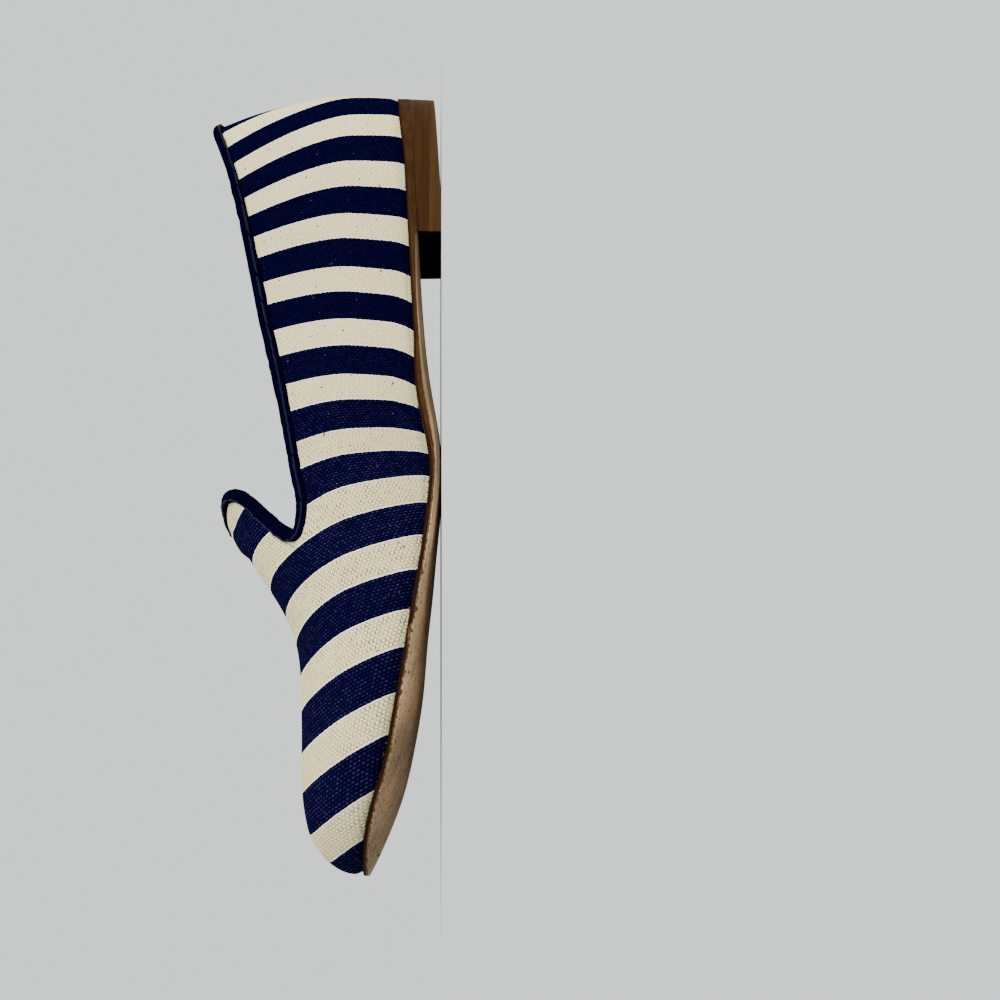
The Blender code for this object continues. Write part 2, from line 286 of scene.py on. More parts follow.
def fold_border(piece, wanted, moves):
    """Carries the skin on from the border edges that pass the test, once for each move. A move
    gives the step in mm from a vertex's normal and from its way out of the skin. Gives, for
    every vertex, the number of the vertex that it was folded from."""
    mesh = bmesh.new()
    mesh.from_mesh(piece.data)
    mesh.verts.ensure_lookup_table()
    number = mesh.verts.layers.int.new("source")
    for point in mesh.verts:
        point[number] = point.index
    border = [edge for edge in mesh.edges if edge.is_boundary and wanted(edge)]
    ways = {}
    for point in {end for edge in border for end in edge.verts}:
        middles = [face.calc_center_median() for face in point.link_faces]
        out = point.co - sum(middles, Vector()) / len(middles)
        ways[point.index] = point.normal.copy(), out.normalized()
    for move in moves:
        made = bmesh.ops.extrude_edge_only(mesh, edges=border)["geom"]
        border = [item for item in made if isinstance(item, bmesh.types.BMEdge)]
        for point in (item for item in made if isinstance(item, bmesh.types.BMVert)):
            point.co += move(*ways[point[number]]) * MM
    sources = [point[number] for point in mesh.verts]
    mesh.verts.layers.int.remove(number)
    mesh.to_mesh(piece.data)
    mesh.free()
    return sources


def points_of(piece):
    """The piece's vertices as rows of x, y, z in millimetres."""
    flat = np.zeros(len(piece.data.vertices) * 3)
    piece.data.vertices.foreach_get("co", flat)
    return flat.reshape(-1, 3) / MM


# Where each stripe edge meets the sole's level, in mm forward of the shoe's middle, navy first.
# Going up, an edge climbs forward, leans back where the wall stands far out from the ridge, and
# sweeps forward above the counter; its foot swings forward just over the sole.
STRIPE_EDGES = (-129.5, -120, -110.5, -101, -91.5, -82.5, -74, -65, -56.5, -48, -39, -30, -22,
                -13.5, -6, 2, 11.5, 21.5, 32.5, 43.5, 54.5, 66, 77, 89.5, 101.5)
Slant = namedtuple("Slant", "place climb lean sweep foot")
SLANTS = [
    Slant(-125, .04, .20, .68, 0),
    Slant(-105, .01, .245, .54, 0),
    Slant(-85, -.04, .29, .41, .02),
    Slant(-58, -.075, .34, .33, .22),
    Slant(-30, -.075, .37, .305, .25),
    Slant(-8, -.01, .40, .315, .05),
    Slant(4, .12, .405, .345, 0),
    Slant(16, .20, .39, .355, 0),
    Slant(45, .27, .305, .285, 0),
    Slant(60, .365, .26, .23, 0),
    Slant(80, .52, .22, .17, 0),
    Slant(102, .68, .18, .10, 0),
    Slant(125, .82, .14, .04, 0),
]
# In mm: the edges beyond both ends and the stripes' widths past them, the level at which the
# places above hold, the top of the feet, how far out the wall is where it doesn't lean, the
# ridge and its rounding, the counter's top and how softly the sweep sets in.
HIDDEN_EDGES = (-139, 114)
HEEL_WIDTH, TOE_WIDTH = 9, 12
EDGE_LEVEL = 10
FOOT_LEVEL = 15
WALL_OUT = 40
RIDGE_SIDE, RIDGE_ROUND = -3.5, 64
COUNTER_TOP, SWEEP_SOFT = 28, 21
# The tab: its foot and its back, how softly each fades, and how its own ridge lies and narrows.
TAB_FOOT, TAB_FOOT_FADE = 48, 14
TAB_BACK, TAB_BACK_FADE = -20, 15
TAB_SIDE, TAB_NARROW, TAB_IN = 8.5, 43, 6.2
# Round the back: the stripes' width, where the back starts, how closely stripes may crowd there,
# and how much of the crowding the threads follow.
STRIPE_WIDTH = 9.1
BACK_START = -100
BACK_CROWDING = 0.78
THREAD_CROWDING = 0.4
# The least size of a triangle or a slope that counts, and what keeps the fields from drifting.
LEAST = 1e-3
FIRMNESS = 1e-6


def stripe_count(spots):
    """How many stripe edges lie behind each spot, so even counts begin navy."""
    forward, side, height = spots[:, 0], spots[:, 1], spots[:, 2]
    on_tab = np.clip((height - TAB_FOOT) / TAB_FOOT_FADE, 0, 1)
    on_tab = on_tab * np.clip((forward - TAB_BACK) / TAB_BACK_FADE, 0, 1)
    out = (side - RIDGE_SIDE + TAB_SIDE * on_tab) ** 2 + RIDGE_ROUND - TAB_NARROW * on_tab
    out = np.sqrt(out) - TAB_IN * on_tab
    above = np.maximum(height - COUNTER_TOP, 0)
    above = above ** 2 / (above + SWEEP_SOFT)
    places = [slant.place for slant in SLANTS]
    edges = []
    for start in (HIDDEN_EDGES[0],) + STRIPE_EDGES + (HIDDEN_EDGES[1],):
        climb, lean, sweep, foot = (np.interp(start, places, [slant[i] for slant in SLANTS])
                                    for i in range(1, 5))
        edges.append(start + climb * (height - EDGE_LEVEL) + lean * (WALL_OUT - out) + sweep * above
                     + foot * np.maximum(FOOT_LEVEL - height, 0))
    edges = np.array(edges)
    count = np.full(len(spots), -1.0)
    for behind, ahead in zip(edges[:-1], edges[1:]):
        count += np.clip((forward - behind) / (ahead - behind), 0, 1)
    count += np.maximum(forward - edges[-1], 0) / TOE_WIDTH
    return count - np.maximum(edges[0] - forward, 0) / HEEL_WIDTH


def lay_cloth(piece):
    """At each vertex, the run along the threads in mm of unstretched cloth, and what the stripe
    count must be raised by so that stripes keep their width round the back of the heel. Both
    come from the smoothest fields whose slopes follow the stripes."""
    spots, counts = points_of(piece), stripe_count(points_of(piece))
    corners = []
    for face in piece.data.polygons:
        ring = list(face.vertices)
        corners += [(ring[0], ring[i], ring[i + 1]) for i in range(1, len(ring) - 1)]
    corners = np.array(corners)
    a, b, c = (spots[corners[:, i]] for i in range(3))
    normal = np.cross(b - a, c - a)
    double = np.linalg.norm(normal, axis=1)
    keep = double > LEAST
    corners, a, b, c, normal, double = (item[keep] for item in (corners, a, b, c, normal, double))
    normal = normal / double[:, None]
    slopes = [np.cross(normal, far - near) / double[:, None] for near, far in ((b, c), (c, a), (a, b))]
    across = sum(slopes[i] * counts[corners[:, i]][:, None] for i in range(3))
    crowding = np.maximum(np.linalg.norm(across, axis=1) * STRIPE_WIDTH, LEAST)
    at_back = (a[:, 0] < BACK_START) & (crowding < BACK_CROWDING)
    across[at_back] *= (BACK_CROWDING / crowding[at_back])[:, None]
    crowding[at_back] = BACK_CROWDING
    along = np.cross(normal, across) / crowding[:, None] ** THREAD_CROWDING * STRIPE_WIDTH
    size = len(spots)
    stiffness = np.zeros((size, size))
    for i in range(3):
        for j in range(3):
            np.add.at(stiffness, (corners[:, i], corners[:, j]), (slopes[i] * slopes[j]).sum(1) * double)
    fields = []
    for slope, known in ((along, np.zeros(size, bool)), (across, spots[:, 0] > BACK_START)):
        load = np.zeros(size)
        for i in range(3):
            np.add.at(load, corners[:, i], (slopes[i] * slope).sum(1) * double)
        load -= stiffness[:, known] @ counts[known]
        free = ~known
        field = counts.copy()
        firm = stiffness[np.ix_(free, free)] + FIRMNESS * np.eye(free.sum())
        field[free] = np.linalg.solve(firm, load[free])
        fields.append(field)
    return fields[0], fields[1] - counts


def write_weave(piece, run, count):
    """Writes the cloth's coordinates into its UV map: run along the threads, stripes across."""
    layer = piece.data.uv_layers.get("weave") or piece.data.uv_layers.new(name="weave")
    owner = np.zeros(len(piece.data.loops), int)
    piece.data.loops.foreach_get("vertex_index", owner)
    layer.data.foreach_set("uv", np.column_stack([run, count])[owner].ravel())


def read_weave(piece):
    """The two coordinates at each vertex, back from the UV map."""
    owner = np.zeros(len(piece.data.loops), int)
    piece.data.loops.foreach_get("vertex_index", owner)
    flat = np.zeros(len(piece.data.loops) * 2)
    piece.data.uv_layers["weave"].data.foreach_get("uv", flat)
    both = np.zeros((2, len(piece.data.vertices)))
    both[:, owner] = flat.reshape(-1, 2).T
    return both


def border_path(piece, wanted):
    """The border vertices that pass the test, in order from one end of the back seam to the other,
    each as its place, its normal and its way out of the skin."""
    mesh = bmesh.new()
    mesh.from_mesh(piece.data)
    edges = {edge for edge in mesh.edges if edge.is_boundary and wanted(edge)}
    ends = [end for edge in edges for end in edge.verts]
    here = max((end for end in ends if ends.count(end) == 1), key=lambda end: (end.co.z, end.index))
    path = []
    while here:
        middles = [face.calc_center_median() for face in here.link_faces]
        out = here.co - sum(middles, Vector()) / len(middles)
        path.append((here.co.copy(), here.normal.copy(), out.normalized()))
        link = next((edge for edge in here.link_edges if edge in edges), None)
        edges.discard(link)
        here = link.other_vert(here) if link else None
    mesh.free()
    return path


# How far, in mm, the counter bulges at the back, the wall rolls in towards the sole and over what
# reach, the back seam stands proud and over what reach, and the cloth is turned in at the sole,
# at the topline and at the back seam.
COUNTER_BULGE = 1.3
ROLL_IN, ROLL_REACH = 0.8, 3.0
SEAM_PROUD, SEAM_PROUD_REACH = 0.4, 1.8
SOLE_DROP, SOLE_TURN = 0.3, 1.2
TOP_TURN = 1.6
SEAM_ALLOWANCE = 1.2

canvas = copy_of("upper", "canvas_upper")
keep_skin(canvas, (0, 0.042, 0.015))
bpy.ops.object.mode_set(mode="EDIT")
bpy.ops.mesh.select_mode(type="EDGE")
bpy.ops.mesh.select_all(action="DESELECT")
bpy.ops.object.mode_set(mode="OBJECT")
for edge in canvas.data.edges:
    edge.select = all(at_seam(canvas.data.vertices[i].co) for i in edge.vertices)
bpy.ops.object.mode_set(mode="EDIT")
bpy.ops.mesh.edge_split(type="EDGE")
bpy.ops.object.mode_set(mode="OBJECT")
while canvas.data.uv_layers:
    canvas.data.uv_layers.remove(canvas.data.uv_layers[0])
write_weave(canvas, *lay_cloth(canvas))
smooth_out(canvas, 2)
pull(canvas, lambda place: place.x < -0.12 and 0.020 < place.z < 0.034 and abs(place.y) < 0.012,
     (-COUNTER_BULGE * MM, 0, 0), 0.022)
run, extra = read_weave(canvas)
set_throat(canvas)
set_rim(canvas)
tuck_in(canvas, ROLL_REACH, ROLL_IN)
for point in canvas.data.vertices:
    if point.co.x < AT_BACK:
        off_seam = abs(point.co.y / MM - BACK_SEAM)
        point.co.x += SEAM_PROUD * MM * max(1 - off_seam / SEAM_PROUD_REACH, 0) ** 2
topline = border_path(canvas, top_border)
feather_line = border_path(canvas, low_border)
for wanted, moves in (
    (low_border, (lambda normal, out: Vector((0, 0, -SOLE_DROP)),
                  lambda normal, out: Vector((normal.x, normal.y, 0)).normalized() * -SOLE_TURN)),
    (top_border, (lambda normal, out: (out - normal * 0.25) * TOP_TURN,)),
    (on_seam, (lambda normal, out: Vector((SEAM_ALLOWANCE, 0, 0)),)),
):
    sources = fold_border(canvas, wanted, moves)
    run, extra = run[sources], extra[sources]
write_weave(canvas, run, stripe_count(points_of(canvas)) + extra)


def feed(tree, slot, value):
    """Links a socket into a slot, or sets the slot to a plain value."""
    if isinstance(value, bpy.types.NodeSocket):
        tree.links.new(value, slot)
    else:
        slot.default_value = value


def new_group(name, ins, outs):
    """A new shader node group with these sockets, as the group, its input node and its output
    node. Each input is a name, a kind and a value or None; each output is a name and a kind."""
    made = bpy.data.node_groups.new(name, "ShaderNodeTree")
    for label, kind, value in ins:
        socket = made.interface.new_socket(label, in_out="INPUT", socket_type="NodeSocket" + kind)
        if value is not None:
            socket.default_value = value
    for label, kind in outs:
        made.interface.new_socket(label, in_out="OUTPUT", socket_type="NodeSocket" + kind)
    return made, made.nodes.new("NodeGroupInput"), made.nodes.new("NodeGroupOutput")


def place_group(tree, made, **values):
    """Places a node group with its own values, a space in a socket's name given as _; gives the
    outputs."""
    node = tree.nodes.new("ShaderNodeGroup")
    node.node_tree = made
    for label, value in values.items():
        feed(tree, node.inputs[label.replace("_", " ")], value)
    return node.outputs


def math_node(tree, operation, *values):
    """A Math node on sockets or plain numbers; gives its output."""
    node = tree.nodes.new("ShaderNodeMath")
    node.operation = operation
    for slot, value in zip(node.inputs, values):
        feed(tree, slot, value)
    return node.outputs[0]


def mix_colour(tree, share, first, second, blend="MIX"):
    """A colour Mix node on sockets or plain values; gives its output."""
    node = tree.nodes.new("ShaderNodeMix")
    node.data_type = "RGBA"
    node.blend_type = blend
    for slot, value in zip((node.inputs[0], node.inputs[6], node.inputs[7]), (share, first, second)):
        feed(tree, slot, value)
    return node.outputs[2]


def tinted(tree, colour, tint, share=1.0):
    """A colour multiplied by a tint or a mask, as far as share says; gives the output."""
    return mix_colour(tree, share, colour, tint, "MULTIPLY")


def spread_map(tree, value, low, high, at_low=0.0, at_high=1.0):
    """A smooth Map Range of a value, from at_low at low to at_high at high; gives its output."""
    node = tree.nodes.new("ShaderNodeMapRange")
    node.interpolation_type = "SMOOTHSTEP"
    feed(tree, node.inputs["Value"], value)
    for label, amount in zip(("From Min", "From Max", "To Min", "To Max"), (low, high, at_low, at_high)):
        feed(tree, node.inputs[label], amount)
    return node.outputs["Result"]


def add_bump(tree, shader, height, strength, depth):
    """Raises the shader's surface by a height mask, at most by depth in mm."""
    bump = tree.nodes.new("ShaderNodeBump")
    bump.inputs["Strength"].default_value = strength
    bump.inputs["Distance"].default_value = depth * MM
    tree.links.new(height, bump.inputs["Height"])
    tree.links.new(bump.outputs["Normal"], shader.inputs["Normal"])


# Mottle: cloudy noise, squeezed along the axes by Squeeze, and its mask, which goes smoothly from
# At Low where the noise is Low to At High where it is High.
mottle, ins, outs = new_group(
    "mottle",
    [("Vector", "Vector", None), ("Squeeze", "Vector", (1, 1, 1)), ("Scale", "Float", 100.0),
     ("Detail", "Float", 2.0), ("Low", "Float", 0.3), ("High", "Float", 0.7), ("At Low", "Float", 0.0),
     ("At High", "Float", 1.0)],
    [("Mask", "Float"), ("Noise", "Float")],
)
squeezed = mottle.nodes.new("ShaderNodeMapping")
mottle.links.new(ins.outputs["Vector"], squeezed.inputs["Vector"])
mottle.links.new(ins.outputs["Squeeze"], squeezed.inputs["Scale"])
cloud = mottle.nodes.new("ShaderNodeTexNoise")
mottle.links.new(squeezed.outputs["Vector"], cloud.inputs["Vector"])
mottle.links.new(ins.outputs["Scale"], cloud.inputs["Scale"])
mottle.links.new(ins.outputs["Detail"], cloud.inputs["Detail"])
limits = (ins.outputs[label] for label in ("Low", "High", "At Low", "At High"))
mottle.links.new(spread_map(mottle, cloud.outputs["Fac"], *limits), outs.inputs["Mask"])
mottle.links.new(cloud.outputs["Fac"], outs.inputs["Noise"])


def mottled(tree, where, scale, detail, low=0.3, high=0.7, at_low=0.0, at_high=1.0, squeeze=(1, 1, 1)):
    """Places the mottle over a coordinate socket; gives its outputs, Mask and Noise."""
    return place_group(tree, mottle, Vector=where, Squeeze=squeeze, Scale=scale, Detail=detail,
                       Low=low, High=high, At_Low=at_low, At_High=at_high)


# Plain weave over the cloth's own coordinates, run along the threads and stripes across: one float
# of the long thread per cell, Picks cells to the mm, Ends rows to the stripe, and every second
# row shifted by half a cell. Across is the stripe coordinate as the thread wavers over it.
plain_weave, ins, outs = new_group(
    "plain_weave",
    [("Vector", "Vector", None), ("Picks", "Float", 0.7), ("Ends", "Float", 11.0)],
    [("Float", "Float"), ("Hollow", "Float"), ("Chance", "Float"), ("Height", "Float"),
     ("Across", "Float")],
)
# How far a thread wavers, in stripes, and how its floats slip with it; how sharply a float falls
# off across and along the thread; how high the thread below lies, and what makes the hollows.
WAVER, SLIP = 0.045, 6.0
ACROSS_FALL, ALONG_FALL = 3.2, 1.1
LOW_THREAD = 0.45
VALLEY, DIP = 0.6, 0.8

split = plain_weave.nodes.new("ShaderNodeSeparateXYZ")
plain_weave.links.new(ins.outputs["Vector"], split.inputs[0])
waver = mottled(plain_weave, ins.outputs["Vector"], 0.9, 3.0)["Noise"]
waver = math_node(plain_weave, "MULTIPLY", math_node(plain_weave, "SUBTRACT", waver, 0.5), WAVER)
across = math_node(plain_weave, "ADD", split.outputs[1], waver)
rows = math_node(plain_weave, "MULTIPLY", across, ins.outputs["Ends"])
row = math_node(plain_weave, "FLOOR", rows)
shift = math_node(plain_weave, "MULTIPLY", math_node(plain_weave, "FLOORED_MODULO", row, 2.0), 0.5)
shift = math_node(plain_weave, "MULTIPLY_ADD", waver, SLIP, shift)
steps = math_node(plain_weave, "MULTIPLY_ADD", split.outputs[0], ins.outputs["Picks"], shift)
step = math_node(plain_weave, "FLOOR", steps)
in_row = math_node(plain_weave, "SUBTRACT", math_node(plain_weave, "SUBTRACT", rows, row), 0.5)
in_step = math_node(plain_weave, "SUBTRACT", math_node(plain_weave, "SUBTRACT", steps, step), 0.5)
cell = plain_weave.nodes.new("ShaderNodeCombineXYZ")
plain_weave.links.new(step, cell.inputs[0])
plain_weave.links.new(row, cell.inputs[1])
chance = plain_weave.nodes.new("ShaderNodeTexWhiteNoise")
chance.noise_dimensions = "2D"
plain_weave.links.new(cell.outputs[0], chance.inputs["Vector"])
crest = math_node(plain_weave, "COSINE", math_node(plain_weave, "MULTIPLY", in_row, math.pi))
beat = math_node(plain_weave, "COSINE", math_node(plain_weave, "MULTIPLY", in_step, 2 * math.pi))
rise = math_node(plain_weave, "MULTIPLY_ADD", beat, 0.5, 0.5)
top_thread = math_node(plain_weave, "MULTIPLY", math_node(plain_weave, "POWER", crest, ACROSS_FALL),
                       math_node(plain_weave, "POWER", rise, ALONG_FALL))
low_thread = math_node(plain_weave, "SUBTRACT", 1.0, rise)
low_thread = math_node(plain_weave, "MULTIPLY", low_thread, LOW_THREAD)
dip = math_node(plain_weave, "MAXIMUM", math_node(plain_weave, "MULTIPLY", beat, -1.0), 0.0)
dip = math_node(plain_weave, "MULTIPLY", dip, crest)
valley = math_node(plain_weave, "POWER", math_node(plain_weave, "SUBTRACT", 1.0, crest), 2.0)
hollow = math_node(plain_weave, "MULTIPLY", dip, DIP)
hollow = math_node(plain_weave, "MULTIPLY_ADD", valley, VALLEY, hollow)
for label, value in (("Float", top_thread), ("Hollow", hollow), ("Chance", chance.outputs["Value"]),
                     ("Height", math_node(plain_weave, "MAXIMUM", top_thread, low_thread)),
                     ("Across", across)):
    plain_weave.links.new(value, outs.inputs[label])

# Navy takes the first half of each pair of stripes and runs a little into the cream at both
# borders. Each navy float has a painted highlight on its crest, and the cream has painted shade in
# the hollows between its threads. Both are stronger where the vamp is stretched over the last and
# the weave opens. The cream also has specks of seed husk, and blotchy painted shade towards the toe.
NAVY_RUN = 0.022
NAVY_DEEP = (0.0004, 0.0, 0.0140, 1)
NAVY_FLOAT_HIGHLIGHTS = (0.009, 0.0075, 0.038, 1), (0.034, 0.029, 0.083, 1)
NAVY_LINT = (0.07, 0.07, 0.12, 1)
CREAM_FLOATS = (0.88, 0.77, 0.40, 1), (1.0, 0.93, 0.58, 1)
CREAM_HOLLOW_SHADE = (0.13, 0.085, 0.032, 1)
CREAM_BY_NAVY = (0.94, 0.87, 0.76, 1)
HUSK = (0.20, 0.14, 0.06, 1)

striped_canvas, tree, shader = new_material("striped_canvas")
cloth = tree.nodes.new("ShaderNodeUVMap")
cloth.uv_map = "weave"
threads = place_group(tree, plain_weave, Vector=cloth.outputs["UV"], Picks=0.7, Ends=11.0)
place = tree.nodes.new("ShaderNodeTexCoord").outputs["Object"]
axes = tree.nodes.new("ShaderNodeSeparateXYZ")
tree.links.new(place, axes.inputs[0])
forward = axes.outputs[0]
band = math_node(tree, "FLOORED_MODULO", math_node(tree, "ADD", threads["Across"], NAVY_RUN), 2.0)
navy_share = math_node(tree, "LESS_THAN", band, 1 + 2 * NAVY_RUN)
stretched = spread_map(tree, forward, -0.055, 0.015)
fleck = spread_map(tree, threads["Chance"], 0.1, 1.0)

# Painted highlight on the crest of each navy float, stronger on the stretched vamp.
float_highlight_share = mottled(tree, place, 35.0, 3.0, 0.35, 0.65, 0.7, 1.0)["Mask"]
float_highlight_share = math_node(tree, "MULTIPLY", float_highlight_share, math_node(tree, "MULTIPLY_ADD", stretched, 0.75, 0.25))
navy = mix_colour(tree, math_node(tree, "MULTIPLY", threads["Float"], float_highlight_share), NAVY_DEEP,
                  mix_colour(tree, fleck, *NAVY_FLOAT_HIGHLIGHTS))
lint = mottled(tree, place, 1300.0, 1.0, 0.76, 0.80)["Mask"]
navy = mix_colour(tree, lint, navy, NAVY_LINT)

# Painted shade in the hollows between the cream's threads, stronger on the stretched vamp and weaker at
# the toe.
hollow_shade_share = math_node(tree, "MULTIPLY_ADD", stretched, 0.72, 0.52)
hollow_shade_share = math_node(tree, "MULTIPLY", threads["Hollow"], hollow_shade_share)
hollow_shade_share = math_node(tree, "MULTIPLY", hollow_shade_share, math_node(tree, "ADD", threads["Chance"], 0.43))
hollow_shade_share = math_node(tree, "MULTIPLY", hollow_shade_share, spread_map(tree, forward, 0.05, 0.11, 1.0, 0.75))
cream = mix_colour(tree, hollow_shade_share, mix_colour(tree, fleck, *CREAM_FLOATS), CREAM_HOLLOW_SHADE)
from_middle = math_node(tree, "ABSOLUTE", math_node(tree, "SUBTRACT", band, 1.5 + NAVY_RUN))
cream = mix_colour(tree, spread_map(tree, from_middle, 0.42, 0.46, 0.0, 0.8), cream, CREAM_BY_NAVY)
husks = mottled(tree, place, 900.0, 1.0, 0.715, 0.75)["Mask"]
cream = mix_colour(tree, husks, cream, HUSK)
# Blotchy painted shade, darker towards the toe.
toe_shade = mottled(tree, place, 28.0, 4.0, 0.35, 0.75, 1.0, 0.93)["Mask"]
toe_shade = math_node(tree, "MULTIPLY", toe_shade, spread_map(tree, forward, 0.065, 0.115, 1.0, 0.80))
cream = tinted(tree, cream, toe_shade)

tree.links.new(mix_colour(tree, navy_share, cream, navy), shader.inputs["Base Color"])
shader.inputs["Roughness"].default_value = 0.9
shader.inputs["IOR"].default_value = 1.05
shader.inputs["Specular IOR Level"].default_value = 0.1
add_bump(tree, shader, threads["Height"], 0.9, 0.45)
canvas.data.materials.append(striped_canvas)
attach(canvas, "root")


# Lining ----------------------------------------------------------------------
# Thin natural leather backs the canvas all round and is turned over with it at the topline;
# only its grain side shows, down inside the collar.
leather_grain, ins, outs = new_group(
    "leather_grain",
    [("Vector", "Vector", None), ("Light", "Color", None), ("Dark", "Color", None),
     ("Roughness", "Float", 0.5)],
    [("Color", "Color"), ("Roughness", "Float"), ("Height", "Float")],
)
place = ins.outputs["Vector"]
blotch = mottled(leather_grain, place, 55.0, 5.0, 0.3, 0.72)["Mask"]
colour = mix_colour(leather_grain, blotch, ins.outputs["Light"], ins.outputs["Dark"])
pores = leather_grain.nodes.new("ShaderNodeTexVoronoi")
pores.inputs["Scale"].default_value = 2600.0
leather_grain.links.new(place, pores.inputs["Vector"])
pore_share = spread_map(leather_grain, pores.outputs["Distance"], 0.0, 0.35, 0.35, 0.0)
colour = mix_colour(leather_grain, pore_share, colour, ins.outputs["Dark"])
polish = mottled(leather_grain, place, 130.0, 3.0, 0.3, 0.7, -0.08, 0.08)["Mask"]
leather_grain.links.new(colour, outs.inputs["Color"])
leather_grain.links.new(math_node(leather_grain, "ADD", ins.outputs["Roughness"], polish),
                        outs.inputs["Roughness"])
leather_grain.links.new(pores.outputs["Distance"], outs.inputs["Height"])


def leather(name, light, dark, rough):
    """A leather: two soft tones, fine pores and a slightly uneven polish."""
    made, tree, shader = new_material(name)
    place = tree.nodes.new("ShaderNodeTexCoord").outputs["Object"]
    grain = place_group(tree, leather_grain, Vector=place, Light=light, Dark=dark, Roughness=rough)
    tree.links.new(grain["Color"], shader.inputs["Base Color"])
    tree.links.new(grain["Roughness"], shader.inputs["Roughness"])
    shader.inputs["Specular IOR Level"].default_value = 0.35
    add_bump(tree, shader, grain["Height"], 0.35, 0.12)
    return made


# How far, in mm, the lining stands in from the shell's inner face, and its turn at the topline.
LINING_IN = 0.35
LINING_TURN = 1.2

lining = copy_of("upper", "leather_lining")
keep_skin(lining, (0, 0.01, 0.02))
smooth_out(lining, 1)
set_throat(lining)
select_faces(lining, lambda centre, normal: True)
bpy.ops.transform.shrink_fatten(value=LINING_IN * MM)
bpy.ops.object.mode_set(mode="OBJECT")
fold_border(lining, top_border, (lambda normal, out: out * LINING_TURN,))
lining.data.materials.append(
    leather("lining_leather_grain", (0.50, 0.36, 0.22, 1), (0.40, 0.27, 0.15, 1), 0.55))
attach(lining, "root")
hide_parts("upper")
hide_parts("upper")


# Topline tape ----------------------------------------------------------------
# Dark navy cotton tape folded over the raw edge of canvas and lining, and stitched through,
# all round the collar and the tongue tab.
def swell(piece, amounts):
    """Moves every vertex out along its normal by its own amount in mm."""
    normals = [point.normal.copy() for point in piece.data.vertices]
    for point, normal, amount in zip(piece.data.vertices, normals, amounts):
        point.co += normal * (amount * MM)


# How much fuller the tape is, in mm, all round, round the tab and in the notches beside it; how
# far it is pressed flat round the back, and where that starts and is complete; and its slubs.
FULLER, FULLER_TAB, FULLER_NOTCH = 0.22, 0.38, 0.35
PRESSED, PRESS_START, PRESS_FADE = 0.32, -60, 45
SLUB, FUZZ = 0.18, 0.20

tape = copy_of("topline_binding", "topline_tape")
smooth_out(tape, 1)
select_faces(tape, lambda centre, normal: True)
bpy.ops.transform.shrink_fatten(value=FULLER * MM)
select_faces(tape, lambda centre, normal: centre.x > -0.012)
bpy.ops.transform.shrink_fatten(value=FULLER_TAB * MM, use_proportional_edit=True,
                                proportional_size=0.02)
select_faces(tape, lambda centre, normal: abs(centre.x - 0.011) < 0.004 and centre.z < 0.050)
bpy.ops.transform.shrink_fatten(value=FULLER_NOTCH * MM, use_proportional_edit=True,
                                proportional_size=0.012)
bpy.ops.object.mode_set(mode="OBJECT")
set_throat(tape)
spots = points_of(tape)
for point, spot in zip(tape.data.vertices, spots):
    if spot[0] < PRESS_START:
        beside = spots[((spots[:, :2] - spot[:2]) ** 2).sum(1) < 4 ** 2]
        share = min((PRESS_START - spot[0]) / PRESS_FADE, 1)
        point.co.z += (beside[:, 2].max() - spot[2]) * PRESSED * share * MM
smooth_out(tape, 1)
swell(tape, [noise.noise(point.co * 420) * SLUB + noise.noise(point.co * 1400) * FUZZ
             for point in tape.data.vertices])

tape_cloth, tree, shader = new_material("tape_twill")
place = tree.nodes.new("ShaderNodeTexCoord").outputs["Object"]
ribs = mottled(tree, place, 1500.0, 2.0)
colour = mix_colour(tree, ribs["Mask"], (0.0001, 0.0001, 0.0040, 1), (0.0011, 0.0008, 0.0125, 1))
tree.links.new(colour, shader.inputs["Base Color"])
shader.inputs["Roughness"].default_value = 1.0
shader.inputs["IOR"].default_value = 1.03
shader.inputs["Specular IOR Level"].default_value = 0.1
add_bump(tree, shader, ribs["Noise"], 0.4, 0.12)
tape.data.materials.append(tape_cloth)

# One row of lockstitch near the tape's lower edge: the pitch, each stitch's length, width and
# thickness, its place out from the canvas's border and off its face, how far it slants, and the
# groove that it presses into the tape; all in mm, except the slant.
STITCH_PITCH = 2.75
STITCH_SIZE = (4.2, 0.8, 0.55)
STITCH_OUT, STITCH_OFF = 1.25, 1.2
STITCH_SLANT = 0.10
GROOVE, GROOVE_REACH = 0.14, 1.5

bpy.ops.mesh.primitive_uv_sphere_add(segments=8, ring_count=6, radius=0.5 * MM)
stitches = bpy.context.object
stitches.name = "tape_stitches"
stitch = points_of(stitches) * STITCH_SIZE
rings = [tuple(face.vertices) for face in stitches.data.polygons]
surface = BVHTree.FromPolygons([point.co for point in tape.data.vertices],
                               [face.vertices for face in tape.data.polygons])
points, faces, seats = [], [], []
travelled = 0
for (start, _, _), (end, normal, out) in zip(topline[:-1], topline[1:]):
    travelled += (end - start).length
    if travelled < STITCH_PITCH * MM:
        continue
    travelled -= STITCH_PITCH * MM
    beside = end + out * (STITCH_OUT * MM) + normal * (STITCH_OFF * MM)
    seat, outward, _, _ = surface.find_nearest(beside)
    along = (end - start).normalized()
    side = outward.cross(along).normalized()
    along = (side.cross(outward) + side * STITCH_SLANT).normalized()
    faces += [[corner + len(points) for corner in ring] for ring in rings]
    points += [seat + (along * x + side * y + outward * z) * MM for x, y, z in stitch]
    seats.append(seat)
seats = np.array(seats) / MM
gaps = [np.sqrt(((seats - spot) ** 2).sum(1).min()) for spot in points_of(tape)]
swell(tape, [-GROOVE * max(1 - gap / GROOVE_REACH, 0) for gap in gaps])
stitches.data.clear_geometry()
stitches.data.from_pydata(points, [], faces)
pick(stitches)
bpy.ops.object.shade_smooth()
bpy.ops.object.location_clear()

